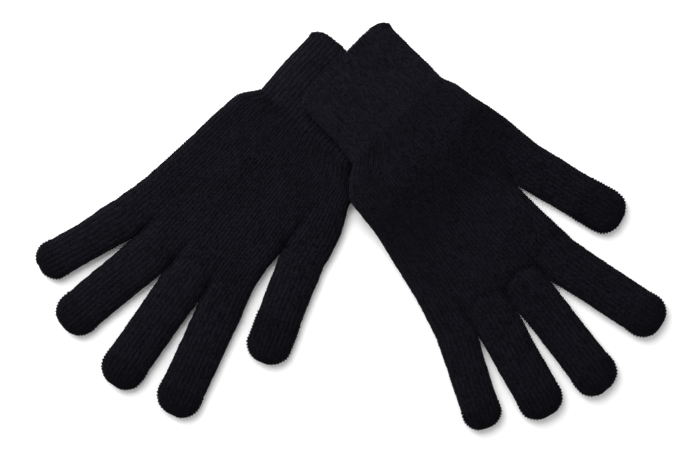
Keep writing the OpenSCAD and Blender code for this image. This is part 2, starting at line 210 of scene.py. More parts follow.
# %% Shader maths
class Wire:
    """One output socket, with arithmetic."""

    def __init__(self, tree, socket):
        self.tree, self.socket = tree, socket

    def node(self, kind, settings=None, inputs=None, out=0):
        """Add a node: settings first, then the values or wires of its sockets."""
        made = self.tree.nodes.new(kind)
        for key, value in (settings or {}).items():
            setattr(made, key, value)
        for key, value in (inputs or {}).items():
            if isinstance(value, Wire):
                self.tree.links.new(value.socket, made.inputs[key])
            else:
                made.inputs[key].default_value = value
        return Wire(self.tree, made.outputs[out])

    def math(self, operation, *values):
        """A Math node on up to two wires or numbers."""
        return self.node("ShaderNodeMath", {"operation": operation}, dict(enumerate(values)))

    def __add__(self, other):
        return self.math("ADD", self, other)

    def __radd__(self, other):
        return self.math("ADD", other, self)

    def __sub__(self, other):
        return self.math("SUBTRACT", self, other)

    def __rsub__(self, other):
        return self.math("SUBTRACT", other, self)

    def __mul__(self, other):
        return self.math("MULTIPLY", self, other)

    def __rmul__(self, other):
        return self.math("MULTIPLY", other, self)

    def __truediv__(self, other):
        return self.math("DIVIDE", self, other)

    def __rtruediv__(self, other):
        return self.math("DIVIDE", other, self)

    def __pow__(self, other):
        return self.math("POWER", self, other)

    def __rpow__(self, other):
        return self.math("POWER", other, self)

    def __abs__(self):
        return self.math("ABSOLUTE", self)

    def clamp(self):
        return self.math("MINIMUM", self.math("MAXIMUM", self, 0.0), 1.0)

    def floor(self):
        return self.math("FLOOR", self)

    def wave(self):
        """A sine wave that repeats at each whole number."""
        return self.math("SINE", self * 6.2832)

    def tooth(self):
        """0 half way between whole numbers, rising to 1 at each."""
        return abs(self.math("FRACT", self) - 0.5) * 2.0

    def mix(self, low, high):
        """Colour from low to high as this wire goes from 0 to 1."""
        return self.node("ShaderNodeMix", {"data_type": "RGBA"}, {0: self, 6: low, 7: high}, 2)

    def noise(self, scale, detail):
        """A cloudy pattern at this place, the finer the higher the scale."""
        return self.node("ShaderNodeTexNoise",
                         inputs={"Vector": self, "Scale": scale, "Detail": detail})

    def vector(self, x, y):
        """A place on a flat pattern."""
        return self.node("ShaderNodeCombineXYZ", inputs={0: x, 1: y})


# %% [markdown]
# ## Starting a knitted material
# Every piece has a map called `knit`, in which one unit across is one wale and one unit along
# is one course. Patterns that belong to the stitches read it, so they follow the cloth round
# each finger. Patterns that don't, such as fibres and unevenness of the dye, read the object's
# own coordinates, and so run on from one piece to the next.

# %% A new material and its wires
def start_material(name):
    """A material, its shader, and the wires for wale, course and place."""
    mat = bpy.data.materials.new(name)
    mat.use_nodes = True
    tree = mat.node_tree
    chart = Wire(tree, None).node("ShaderNodeUVMap", {"uv_map": "knit"})
    across = chart.node("ShaderNodeSeparateXYZ", inputs={0: chart})
    along = Wire(tree, across.socket.node.outputs[1])
    place = Wire(tree, tree.nodes.new("ShaderNodeTexCoord").outputs["Object"])
    return mat, tree.nodes["Principled BSDF"], across, along, place


def connect(shader, level, shade, dark, lit, rough, height, strength, distance):
    """Colour between two depths of one shade, roughness, and a bump from a height."""
    ends = [tuple(c * k for c in shade) + (1.0,) for k in (dark, lit)]
    links = level.tree.links
    links.new(level.mix(*ends).socket, shader.inputs["Base Color"])
    links.new(rough.socket, shader.inputs["Roughness"])
    bump = height.node("ShaderNodeBump", inputs={"Height": height, "Strength": strength,
                                                 "Distance": distance})
    links.new(bump.socket, shader.inputs["Normal"])


# %% [markdown]
# ## The yarn
# The yarn is a matt near-black acrylic with a trace of blue. A knit stitch looks like a V: two
# legs of yarn lean together, and the next V sits in it. The mesh already has each V's relief.
# The material adds what is finer: the gap between legs, the twist of the yarn, and the fibres.
# The gap, the edges of each leg and the line between courses are painted darker, as painted
# shade in these hollows, and the same shape gives the bump. The colour is uneven at four
# scales: from stitch to stitch, along a wale, in clouds of dye, and in flecks, the brightest of
# which are painted highlights where fibres catch the light. Specular and sheen are kept very
# low, because worn fibres scatter light instead of reflecting it.

# %% Yarn material
def yarn(name, shade, touch=0.0):
    """Knitted yarn of one dye lot. touch adds fine conductive thread, as a lower roughness and brighter painted
    highlights in the flecks.
    """
    mat, shader, across, along, place = start_material(name)
    side = across.tooth()                           # 0 in mid wale, 1 in the gap beside it
    lean = along + side * 0.55                      # courses, bent into Vs
    leg = abs(side - 0.5) * 2.0                     # 0 in the middle of a leg
    gap = ((side - 0.45) / 0.55).clamp()
    groove_and_shade = gap * 0.85 + (leg ** 4.0) * 0.30 + (lean.tooth() ** 4.0) * 0.45
    stitch = across.node("ShaderNodeTexWhiteNoise", {"noise_dimensions": "2D"},
                         {0: across.vector((across * 2.0).floor(), lean.floor())})
    streak = across.vector(across * 0.8, along * 0.10).noise(1.0, 2.0)
    twist = (lean * 5.0 + across * 9.0).wave()
    fibre, cloud, fleck = place.noise(2600.0, 3.0), place.noise(45.0, 4.0), place.noise(900.0, 2.0)

    depth = groove_and_shade.clamp()
    # Painted shade: the colour darkens in the gap beside each leg, at the legs' edges and between courses; the
    # same depth also drives the bump.
    level = (1.0 - depth * 0.46) * (0.30 + fibre * 1.3) * (0.62 + cloud * 0.6)
    level = level * (0.62 + stitch * 0.62) * (0.60 + streak * 0.70) * (fleck * 3.2 - 0.64)
    # The brightest flecks are painted highlights where fibres catch the light, brighter still in the touch yarn.
    level = level + (fleck - 0.62).clamp() * (1.2 + touch * 3.0)
    connect(shader, level.clamp(), shade, dark=0.12, lit=2.1,
            rough=0.93 - fibre * 0.12 - touch * 0.08,
            height=(1.0 - depth) + twist * 0.10 + fibre * 0.55, strength=0.5, distance=0.00025)
    shader.inputs["Specular IOR Level"].default_value = 0.03
    shader.inputs["Sheen Weight"].default_value = 0.012
    shader.inputs["Sheen Roughness"].default_value = 0.55
    shader.inputs["Sheen Tint"].default_value = (0.62, 0.62, 0.80, 1.0)
    return mat


# %% [markdown]
# ## The elastic
# Inside each cuff is a woven elastic band: fine rubber cords side by side under a thin dark
# yarn. It is smoother than the knitting and a little lighter.

# %% Elastic material
def elastic_web(name, shade):
    """Rubber cords wrapped in thin yarn, running round the cuff."""
    mat, shader, across, along, _ = start_material(name)
    cord = (along * 1.5).tooth()
    wrap = (across * 4.0 + along).wave() * 0.5 + 0.5
    level = (0.35 + (1.0 - cord) * 0.5 + wrap * 0.25).clamp()
    connect(shader, level, shade, dark=0.5, lit=1.5, rough=0.75 - cord * 0.15,
            height=level, strength=0.5, distance=0.0003)
    return mat


# %% [markdown]
# ## Mixing the shades
# One dye does for all, but the cuff is lighter and the touch tips darker. Partly this is the
# cloth's structure: the open rib of the cuff shows more lit fibre than the plain knit, and the
# denser touch yarn shows less. Partly it is painted light and shade: the cuffs, at the top, are
# painted lighter and the fingertips, at the bottom, darker, so the light falls off more from
# the cuffs to the fingertips.

# %% Yarns
SHADE = (0.00285, 0.0026, 0.0040)
PLAIN = (yarn("plain knit", SHADE), "plain_knit")
# Lighter and darker copies of one yarn: partly the knit, partly painted light and shade.
RIBBED = (yarn("ribbed knit", tuple(c * 1.4 for c in SHADE)), "ribbed_knit")
TOUCH = (yarn("touch knit", tuple(c * 0.75 for c in SHADE), touch=0.12), "touch_knit")
ELASTIC = (elastic_web("elastic band", (0.012, 0.012, 0.014)), "elastic_band")
print("yarns mixed:", [mat.name for mat, _ in (PLAIN, RIBBED, TOUCH, ELASTIC)])


# %% [markdown]
# ## The outline of a flat tube
# A glove lying down is a set of flattened tubes: full in the middle, round at the sides, a
# little flatter underneath. An ellipse would be too thin at its sides, and a box with rounded
# edges too full. A superellipse lies between: a higher power is more like the box. `Profile`
# walks it at an even pace, so the stitches, which are all the same width on the machine, stay
# evenly spaced round the edge too.

# %% Flat-tube profile
class Profile:
    """Even steps round half of a flattened tube's outline, from one side edge to the other.

    Called with a share of the way, from -1 to 1, it gives x, how far to the side, and g, how
    full the tube is there, both as shares of its half width and half height.
    """

    def __init__(self, half, rise, power, root):
        x = np.sin(np.linspace(-math.pi / 2, math.pi / 2, 4001))
        g = (1 - np.abs(x) ** power) ** (1 / root)
        arc = np.concatenate([[0], np.cumsum(np.hypot(np.diff(x) * half, np.diff(g) * rise))])
        self.arc, self.x, self.g = arc / arc[-1] * 2 - 1, x, g

    def __call__(self, t):
        return np.interp(t, self.arc, self.x), np.interp(t, self.arc, self.g)


def whole_ring(top, under, wales):
    """All the way round a tube: x and g at every point, over the top and back underneath."""
    t = np.linspace(-1, 1, wales * PER_WALE + 1)
    (xt, gt), (xu, gu) = top(t), under(t)
    return np.concatenate([xt, xu[::-1][1:]]), np.concatenate([gt, -gu[::-1][1:]])


RISE = LAYS["left"].height / 2
FINGER_HALF, CUFF_HALF = 0.0118, 0.0305         # usual half widths, for the even pace
FINGER_TOP = Profile(FINGER_HALF, RISE, power=2.7, root=2.0)
FINGER_UNDER = Profile(FINGER_HALF, RISE, power=5.0, root=2.3)
CUFF_TOP = Profile(CUFF_HALF, RISE, power=5.5, root=2.0)
CUFF_UNDER = Profile(CUFF_HALF, RISE, power=8.0, root=2.2)
print("tubes stand %.1f mm high" % (RISE * 2e3))

# %% [markdown]
# ## Stitches as relief
# Real loops of yarn, one curve a stitch, would be millions of triangles. A relief on the
# surface keeps what is seen of them. Each wale is six columns of the mesh, which give it the
# gap beside it, a leg, the dip between its legs, and the other leg. Each course is two rows.
# Sliding the sides of each wale forward makes every row of the mesh a zigzag of Vs. Near a row
# that two pieces share, the slide fades out, so that both have the same ring of points there.

# %% Stitch sizes and slide
PER_WALE, PER_COURSE = 6, 2
COURSE = 0.0016                                             # length of one stitch
RELIEF = 0.00027                                            # how far a leg stands proud
LEG_HEIGHT = np.array([-0.85, 0.1, 0.6, 0.0, 0.6, 0.1])     # gap, then leg, dip, leg
SLIDE = np.array([0.55, 0.40, 0.20, 0.0, 0.20, 0.40]) * COURSE


def slide_along(rows, cols):
    """How far each point is slid along its wale: nothing on the rows shared with other pieces."""
    count = np.arange(rows)
    share = np.minimum(1.0, 0.5 * np.minimum(count, count[::-1]))
    return share[:, None] * SLIDE[np.arange(cols) % PER_WALE][None]


def course_rows(length):
    """An even number of mesh rows that fits whole courses into a length."""
    return max(2, round(length / COURSE)) * PER_COURSE


print("a course is %.1f mm long, in mesh rows of %.1f mm"
      % (COURSE * 1e3, COURSE / PER_COURSE * 1e3))

# %% [markdown]
# A machine knits evenly, but yarn doesn't lie so: each stitch is drawn a little tighter or
# looser. Every piece has its own fixed seed, made from its name, so the result is the same
# each run. A rib sinks every second wale.

# %% Height of every stitch
TIGHT, LOOSE = 0.45, 1.5            # how much the relief of single stitches varies
UP_DOWN = 0.45                      # height of every second row, and depth of the others
SHARED_LEG, SHARED_LEVEL = 0.55, -0.05          # relief and level of rows that pieces share


def seed_of(text):
    """A fixed number from a piece's name."""
    return sum((i + 1) * ord(letter) for i, letter in enumerate(text)) % 100003


def stitch_height(rows, cols, seed, rib=0.0, last_shared=True):
    """Relief of every grid point. Rows shared with another piece keep one height."""
    c, r = np.arange(cols), np.arange(rows)
    leg = LEG_HEIGHT[c % PER_WALE]
    course = np.where(r % PER_COURSE == 0, -UP_DOWN, UP_DOWN)
    loose = np.random.RandomState(seed).uniform(
        TIGHT, LOOSE, (rows // PER_COURSE + 1, cols // PER_WALE + 1))
    loose = np.repeat(np.repeat(loose, PER_COURSE, 0), PER_WALE, 1)[:rows, :cols]
    h = (leg[None] + course[:, None]) * loose
    shared = leg * SHARED_LEG + SHARED_LEVEL
    h[0] = shared
    if last_shared:
        h[-1] = shared
    if rib:
        h = h + rib * np.where((c // PER_WALE) % 2 == 0, 1.0, -1.0)[None]
    return h * RELIEF


# %% [markdown]
# ## Nothing knitted lies straight
# Cloth wanders: its columns drift a little sideways and its surface rises and falls. `wander`
# adds a few long waves of fixed directions. It depends only on the place, so two pieces that
# meet wander alike, and no seam opens between them.

# %% Wandering cloth
SWAY, SWAY_SEED = 0.0011, 11        # how far the cloth's top rises and falls
SWAY_WAVES = (0.055, 0.031, 0.018, 0.011)       # wave lengths of the rise and fall,
DRIFT_WAVES = (0.06, 0.035)                     # of the drift of whole wales
QUIVER_WAVES = (0.0075, 0.0052, 0.0039)         # and of the edges' small unevenness
ONE_TURN = 6.28                     # radians, near enough


def wander(t, v, seed, waves=SWAY_WAVES):
    """A smooth unevenness of the cloth, the same wherever two pieces meet."""
    total = np.zeros(np.broadcast(t, v).shape)
    rng = np.random.RandomState(seed)
    for wave in waves:
        for _ in range(2):
            turn, phase = rng.uniform(0, 2 * math.pi, 2)
            along = t * math.cos(turn) + v * math.sin(turn)
            total += wave * np.sin(along / wave * ONE_TURN + phase)
    return total / (2 * sum(waves))


# %% [markdown]
# Handling has also pulled the gloves' sides in or out here and there, by a millimetre or two.
# Proportional editing would do this by hand. Here each pull has a place, a direction and a
# reach, and fades away smoothly round its place.

# %% Pulled sides
def side_pulls(lay):
    """Where handling has pulled a glove's side a little in or out: place, pull, reach."""
    pinky, (low, high), half = lay.digits["pinky"], lay.heel, lay.cuff_half
    pinky_side = pinky["root"] - pinky["across"] * pinky["root_half"]
    if lay.side == "left":
        return [(pinky_side, -pinky["across"] * 0.0012, 0.015),
                ((-half, 0.020), (-0.0010, 0.0), 0.020),
                ((-half * 0.5, 0.0), (0.0, -0.0004), 0.020),
                ((low, lay.fold), (0.0007, 0.0), 0.009),
                ((half, lay.cuff_end), (0.0012, 0.0), 0.008),
                ((high, lay.fold + 0.018), (0.0009, 0.0), 0.011)]
    return [((high, lay.fold + 0.004), (-0.0011, 0.0), 0.016),
            ((-half * 0.6, 0.0), (0.0, 0.0008), 0.018),
            ((-half - 0.003, lay.cuff_end + 0.003), (-0.0026, 0.0), 0.009),
            ((low, lay.fold + 0.020), (0.0006, 0.0), 0.010)]


PULLS = {side: side_pulls(lay) for side, lay in LAYS.items()}
print({side: len(pulls) for side, pulls in PULLS.items()}, "pulls at the gloves' sides")

# %% Shift points in plan
DRIFT_SEED = {"left": 31, "right": 57}
DRIFT, QUIVER = (0.0004, 0.0003), (0.00018, 0.00022)    # how far, across and along the hand


def unsettle(t, v, side):
    """Shift points a little in plan, the same for every piece that has them."""
    for place, pull, reach in PULLS[side]:
        near = np.exp(-((t - place[0]) ** 2 + (v - place[1]) ** 2) / reach ** 2)
        t, v = t + pull[0] * near, v + pull[1] * near
    seed = DRIFT_SEED[side]
    dt = (wander(t, v, seed, DRIFT_WAVES) * DRIFT[0]
          + wander(t, v, seed + 1, QUIVER_WAVES) * QUIVER[0])
    dv = (wander(t, v, seed + 2, DRIFT_WAVES) * DRIFT[1]
          + wander(t, v, seed + 3, QUIVER_WAVES) * QUIVER[1])
    return t + dt, v + dv


# %% [markdown]
# ## From a grid to a piece of cloth
# The mesh itself is Blender's grid primitive, with one cell for each part of a stitch, so no
# list of faces has to be written. Its points are moved onto the cloth, and its `knit` map is
# filled with wale and course numbers.

# %% Grids of stitches
def add_sheet(bm, points, first_wale=0.0, first_course=0.0, flip=False):
    """One grid of stitches: a grid primitive whose points are moved onto the cloth."""
    rows, cols = points.shape[:2]
    before = len(bm.faces)
    made = bmesh.ops.create_grid(bm, x_segments=cols - 1, y_segments=rows - 1, size=0.5)
    bm.faces.ensure_lookup_table()
    faces = bm.faces[before:]
    knit = bm.loops.layers.uv.verify()
    stitch = {}
    for vert in made["verts"]:
        c, r = round((vert.co.x + 0.5) * (cols - 1)), round((vert.co.y + 0.5) * (rows - 1))
        stitch[vert] = (first_wale + c / PER_WALE, first_course + r / PER_COURSE)
        vert.co = points[r, c]
    for face in faces:
        face.smooth = True
        for loop in face.loops:
            loop[knit].uv = stitch[loop.vert]
    if not flip:
        bmesh.ops.reverse_faces(bm, faces=faces)


# %% [markdown]
# Stitches stand square to the cloth, so its direction is worked out at every point of the
# grid, from the points before, after and beside it. Underneath, the table presses them flat.

# %% Stitches square to the cloth
TABLE_GAP = 0.00002                 # the lowest a stitch may lie


def square_to(points, closed):
    """Unit normals of a grid of points; closed grids wrap round in the column direction."""
    if closed:
        ring = points[:, :-1]
        n = np.cross(np.gradient(ring, axis=0), np.roll(ring, -1, 1) - np.roll(ring, 1, 1))
        n = np.concatenate([n, n[:, :1]], 1)
    else:
        n = np.cross(np.gradient(points, axis=0), np.gradient(points, axis=1))
    return n / np.maximum(np.linalg.norm(n, axis=-1, keepdims=True), 1e-12)


def on_table(points):
    """Stitches that would go through the table are pressed flat against it."""
    points[..., 2] = np.maximum(points[..., 2], TABLE_GAP)
    return points


def knit_tube(lay, tt, vv, z, height):
    """Put a smooth tube in place, then raise its stitches along the normal."""
    height[:, -1] = height[:, 0]
    smooth = lay.world(*unsettle(tt, vv, lay.side), z)
    normal = square_to(smooth, True)
    sway = wander(tt, vv, SWAY_SEED) * SWAY * np.clip(normal[..., 2], 0, 1)
    return on_table(smooth + normal * (height + sway)[..., None])


# %% [markdown]
# ## Finishing a piece
# A piece is finished by welding its seams, giving it its yarn and hiding the CAD nodes it
# stands for. A tube is a sheet whose first and last columns lie on each other, so the weld
# closes it.

# %% Finish a piece
WELD = 1e-5                         # points closer than this become one


def finish_piece(bm, name, cloth, nodes):
    """Weld the seams, make the piece in its yarn, and hide the CAD nodes it stands for."""
    bmesh.ops.remove_doubles(bm, verts=bm.verts, dist=WELD)
    bm.normal_update()
    mesh = bpy.data.meshes.new(name)
    bm.to_mesh(mesh)
    bm.free()
    mesh.uv_layers[0].name = "knit"
    mesh.materials.append(cloth[0])
    thing = bpy.data.objects.new(name, mesh)
    bpy.context.collection.objects.link(thing)
    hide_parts(*nodes)
    print(f"  {name}: {len(mesh.polygons)} faces")
    return thing


def tube_piece(name, points, first_course, cloth, nodes):
    """A tube is one sheet whose first and last columns are welded."""
    bm = bmesh.new()
    add_sheet(bm, points, first_course=first_course)
    return finish_piece(bm, name, cloth, nodes)


# %% [markdown]
# Cloth doesn't break at a fold, it bends round it. Here a piece that starts at a fold line
# only has its transform baked into its mesh. The point a stretch beyond the fold is worked out,
# but the piece isn't blended from the bone before the fold to the bone after it.

# %% A piece at a fold line
def bend_at(thing, joint, reach):
    """Bake the piece's transform into its mesh; the point a stretch beyond the fold line is worked out but not
    used.
    """
    at, axis = Vector(joint["pos_m"]), Vector(joint["axis"])
    ahead = Vector((0, 0, 1)).cross(axis).normalized()
    at + ahead * reach
    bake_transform(thing)


# %% [markdown]
# ## Fingers
# A finger is a flat tube that flares where it leaves the hand and closes in a round end. A
# spin would give it round sections, so it is a sheet of stitches rolled into a flat tube
# instead. It is cut into pieces at the fold lines. The rings at the cuts are shared, so the
# pieces meet without a gap. First come the rings: how far along the finger each row of
# stitches is, and how wide and high the tube is there.

# %% Rings of a finger
FINGER_WALES = {"pinky": 9, "ring": 11, "middle": 11, "index": 11, "thumb": 11}
FLARE = 0.36                        # share of the finger over which its root narrows
CAP = 0.92                          # length of the rounded end, in half widths
SHORTEST = 0.001                    # straight length of a tip, at the least
TIP_STEP, TIP_STEP_LENGTH = 0.0002, 0.0013      # the touch yarn is this much thicker
TIP_CLOSE = 0.0075                  # length over which the end closes in height


def ease(x):
    """From 0 to 1 with a gentle start and stop."""
    x = np.clip(x, 0, 1)
    return x * x * (3 - 2 * x)


def plain_rings(d, start, stop):
    """Distance, half width and half height of each row of a straight length."""
    rows = course_rows(stop - start)
    s = np.linspace(start, stop, rows + 1)
    flare = 1 - ease(s / (FLARE * d["length"]))
    return s, d["half"] + (d["root_half"] - d["half"]) * flare, np.full(rows + 1, RISE)


def tip_rings(d, start):
    """The same for the end of a finger: a short straight, then a rounded cap."""
    cap = CAP * d["half"]
    straight = d["length"] - cap - start
    low = course_rows(max(straight, SHORTEST)) + 1
    turn = np.linspace(0, math.pi / 2, course_rows(cap * math.pi / 2) + 1)[1:]
    s = np.concatenate([np.linspace(start, start + straight, low),
                        start + straight + cap * np.sin(turn)])
    half = np.concatenate([np.full(low, d["half"]), d["half"] * np.cos(turn) ** 0.9])
    end = np.clip((d["length"] - s) / TIP_CLOSE, 0, 1)
    rise = RISE * np.sqrt(np.maximum(0, 1 - (1 - end) ** 2.2))
    step = ease((s - start) / TIP_STEP_LENGTH)
    return s, half + TIP_STEP * step * (half > 0.002), rise + TIP_STEP * step * end


# %% [markdown]
# The touch tips are knitted with a thicker conductive yarn, whose loops stand out along the
# edges. Everything fades to nothing at the very end, where all wales are drawn together.

# %% One piece of a finger
EDGE_LOOP = 1.6                     # how far edge loops stand out, in reliefs
TIP_SLIDE = 0.006                   # length over which the Vs flatten at the very end


def finger_piece(lay, name, part, start, stop):
    """Build one length of a finger, from distance start to distance stop."""
    d, tip = lay.digits[name], part == "touch_tip"
    s, half, rise = tip_rings(d, start) if tip else plain_rings(d, start, stop)
    x, g = whole_ring(FINGER_TOP, FINGER_UNDER, FINGER_WALES[name])
    shape = len(s), len(x)
    side = x * half[:, None]
    tt = d["root"][0] + s[:, None] * d["along"][0] + side * d["across"][0]
    vv = d["root"][1] + s[:, None] * d["along"][1] + side * d["across"][1]
    z = d["top"] - RISE + g * rise[:, None]

    height = stitch_height(*shape, seed_of(lay.side + name + part), last_shared=not tip)
    slid = slide_along(*shape)
    if tip:
        edge = (1 - np.abs(z[1] - z[1].mean()) / RISE).clip(0, 1) ** 1.5
        loops = np.where(np.arange(len(s)) % PER_COURSE == 0, -EDGE_LOOP, EDGE_LOOP)[:, None]
        loops[0] = 0
        height = height + loops * edge[None] * RELIEF
        height[-1] = 0
        height = height * np.clip(half / d["half"] * 2.5, 0, 1)[:, None]
        slid = slid * np.clip((d["length"] - s) / TIP_SLIDE, 0, 1)[:, None]
    points = knit_tube(lay, tt + slid * d["along"][0], vv + slid * d["along"][1], z, height)
    node = f"{lay.side}_{name}_{part}"
    return tube_piece(node + "_knit", points, s[0] / COURSE, TOUCH if tip else PLAIN, [node])


# %% [markdown]
# Now the ten fingers, each from its own numbers. A finger has a base, a middle and a touch
# tip. A thumb has one fold fewer, so no middle.

# %% Knit the fingers
BEND = 0.014                        # the stretch past a finger's fold that bend_at is given
for side, lay in LAYS.items():
    for name, d in lay.digits.items():
        parts = ["base", "touch_tip"] if name == "thumb" else ["base", "middle", "touch_tip"]
        stops = d["folds"][1:] + [d["length"]]
        for part, start, stop, joint in zip(parts, d["folds"], stops, d["hinges"]):
            piece = finger_piece(lay, name, part, start, stop)
            bend_at(piece, joint, min(BEND, 0.8 * (stop - start)))

# %% [markdown]
# ## The hand
# The hand is two sheets of stitches, back and palm, that meet along its sides. Joining tubes
# by a remesh would be quicker, but would lose the grid of stitches, so it is laid out as it is
# knitted. Each finger's wales run down through the hand to the wrist, so the hand is a fan of
# strips: four for the fingers, and one for the thumb that ends at its own root. The strips are
# round where each finger starts and flatten together further down. `Hand` gives the lines
# between the strips, how round each strip is beside them, and how high the cloth lies: at the
# cuff's height at the wrist, and on the table from a few centimetres further on.

# %% Shape of the hand
SHARE = [0.0, 0.19, 0.395, 0.6, 0.8, 1.0]       # where the dividing lines start at the wrist
SLOPE = (0.004, 0.046)                          # from the fold: where the hand comes down
BOW = {"left": (0.0012, 0.0017), "right": (0.0023, 0.0008)}    # of the hand's two sides
TUCK = 0.0025                                   # how far the side by the thumb draws in
ROUND_FROM, ROUND_POWER = 0.62, 3.2             # where the strips start to round, fingers
THUMB_ROUND_FROM, THUMB_ROUND_POWER = 0.45, 3.0


def bowed(a, b, bow, q):
    """The point a share q along a line from a to b that bows to the side in its middle."""
    return a + (b - a) * q + np.array([bow, 0]) * 4 * q * (1 - q)


class Hand:
    """Dividing lines between the strips, roundings and heights of one glove's hand."""

    def __init__(self, lay):
        self.lay = lay
        digits = lay.digits
        sides = {n: d["across"] * d["root_half"] for n, d in digits.items()}
        self.crotch = [digits["pinky"]["root"] - sides["pinky"]]
        self.crotch += [digits[name]["root"] + sides[name] for name in FINGERS]
        self.thumb_in = digits["thumb"]["root"] - sides["thumb"]
        self.thumb_out = digits["thumb"]["root"] + sides["thumb"]
        low, high = lay.heel
        self.foot = [np.array([low + (high - low) * share, lay.fold]) for share in SHARE]
        length = self.crotch[2][1] - lay.fold
        self.rows = course_rows(length)
        reach = (self.thumb_in[1] - lay.fold) / length
        self.thumb_row = round(reach * self.rows / PER_COURSE) * PER_COURSE

    def line(self, i, f, ft):
        """Dividing line i at row share f, or thumb share ft for the thumb's own lines."""
        f, ft = np.asarray(f)[:, None], np.asarray(ft)[:, None]
        bow = BOW[self.lay.side]
        if i < 4:
            return bowed(self.foot[i], self.crotch[i], bow[0] if i == 0 else 0, f)
        if i == 5:
            return bowed(self.foot[5], self.thumb_out, bow[1], ft)
        low = bowed(self.foot[4], self.thumb_in, 0, np.minimum(ft, 1))
        split = self.thumb_row / self.rows
        tuck = -min(TUCK, abs(self.crotch[4][0] - self.thumb_in[0]) / 4)
        high = bowed(self.thumb_in, self.crotch[4], tuck, np.clip((f - split) / (1 - split), 0, 1))
        return np.where(ft < 1, low, high)

    def rounding(self, i, f, ft):
        """How round the cloth is beside dividing line i: 0 flat, 1 as round as a finger."""
        if i in (0, 5):
            return np.ones_like(f)
        if i == 4:
            q = np.clip((ft - THUMB_ROUND_FROM) / (1 - THUMB_ROUND_FROM), 0, 1)
            return np.where(ft >= 1, 1.0, q ** THUMB_ROUND_POWER)
        return np.clip((f - ROUND_FROM) / (1 - ROUND_FROM), 0, 1) ** ROUND_POWER

    def middle(self, v):
        """Height of the cloth's middle above the cuff's mid height."""
        down = ease((v - self.lay.fold - SLOPE[0]) / (SLOPE[1] - SLOPE[0]))
        return (RISE - self.lay.mouth[2]) * down

    def strip(self, i, f, ft, under):
        """Plan points and heights of one strip of one sheet."""
        t = np.linspace(-1, 1, FINGER_WALES["thumb" if i == 4 else FINGERS[i]] * PER_WALE + 1)
        x, g = (FINGER_UNDER if under else FINGER_TOP)(t)
        a, b = self.line(i, f, ft), self.line(i + 1, f, ft)
        ends = [self.rounding(k, f, ft)[:, None] for k in (i, i + 1)]
        part = np.where(t[None] < 0, *ends)
        xx = t[None] * (1 - part) + x[None] * part
        gg = 1 - part * (1 - g[None])
        p = a[:, None] + (b - a)[:, None] * ((1 + xx) / 2)[..., None]
        return p[..., 0], p[..., 1], self.middle(p[..., 1]) + (-1 if under else 1) * gg * RISE


def hand_sheet(hand, under):
    """The four finger strips side by side, and the thumb strip."""
    f = np.linspace(0, 1, hand.rows + 1)
    ft = np.minimum(np.arange(hand.rows + 1) / hand.thumb_row, 1.0)
    strips = [hand.strip(i, f, ft, under) for i in range(4)]
    main = [np.concatenate([strips[0][k]] + [s[k][:, 1:] for s in strips[1:]], 1)
            for k in range(3)]
    low = hand.thumb_row + 1
    return main, hand.strip(4, f[:low], ft[:low], under)


# %% [markdown]
# ## Creases
# An empty glove isn't smooth. Soft valleys run from the crotches into the hand, and a fold of
# spare cloth runs from the root of the thumb. A faint hollow arches across the foot of each
# finger, deepest at the right glove's middle finger. A cloth simulation would make folds of
# its own choosing. These are dips in the back of the hand, put where a glove creases, and the
# low lamp shades them as it would cloth.

# %% Depth of the creases
CROTCH_CREASE = {1: 0.01875, 2: 0.02625, 3: 0.0225}             # length, by crotch
CROTCH_DEPTH, CROTCH_WIDE = 0.0021, 0.0019
THUMB_CREASE = {"left": (-0.1, -1.0), "right": (0.45, -0.9)}    # the way it runs
THUMB_LENGTH, THUMB_DEPTH, THUMB_WIDE = 0.034, 0.0023, 0.0021
HOLLOW = {"left": (0.0004, 0.0007, 0.0011, 0.0005), "right": (0.0004, 0.0007, 0.0016, 0.0010)}
HOLLOW_HALF, HOLLOW_WIDE = 0.0116, 0.0024       # half its width across the finger, and along
ARCH_TOP, ARCH_DROP = 0.0125, 0.005             # how far into the hand, in the middle, and less
CREASE_START = 0.0045                           # a crease deepens over this length


def crease_depth(hand, tt, vv):
    """Soft valleys that run from the crotches into the hand, and the hollows."""
    deep = np.zeros_like(tt)
    digits, side = hand.lay.digits, hand.lay.side
    for depth, name in zip(HOLLOW[side], FINGERS):
        d = digits[name]
        from_root = (tt - d["root"][0], vv - d["root"][1])
        run = -(from_root[0] * d["along"][0] + from_root[1] * d["along"][1])
        off = (from_root[0] * d["across"][0] + from_root[1] * d["across"][1]) / HOLLOW_HALF
        arch = ARCH_TOP - ARCH_DROP * off ** 2
        deep += depth * np.exp(-np.abs(off) ** 6) * np.exp(-((run - arch) / HOLLOW_WIDE) ** 2)
    folds = [(hand.crotch[k], -(digits[FINGERS[k - 1]]["along"] + digits[FINGERS[k]]["along"]),
              length, CROTCH_DEPTH, CROTCH_WIDE) for k, length in CROTCH_CREASE.items()]
    folds.append((hand.thumb_in, np.array(THUMB_CREASE[side]),
                  THUMB_LENGTH, THUMB_DEPTH, THUMB_WIDE))
    for at, back, length, depth, wide in folds:
        back = back / np.linalg.norm(back)
        run = (tt - at[0]) * back[0] + (vv - at[1]) * back[1]
        off = (tt - at[0]) * back[1] - (vv - at[1]) * back[0]
        fade = np.clip(1 - run / length, 0, 1) ** 0.8 * ease(run / CREASE_START)
        deep += depth * fade * np.exp(-(off / wide) ** 2)
    return deep


# %% [markdown]
# Back and palm are raised one at a time. Along the hand's two sides they share a column of
# points, which stands straight out on both, so that the weld closes the seam. The thumb strip
# takes its first column from the palm's last.

# %% Raise the stitches of a hand
EDGE_SEED = 5                       # one seed for both sheets' edges


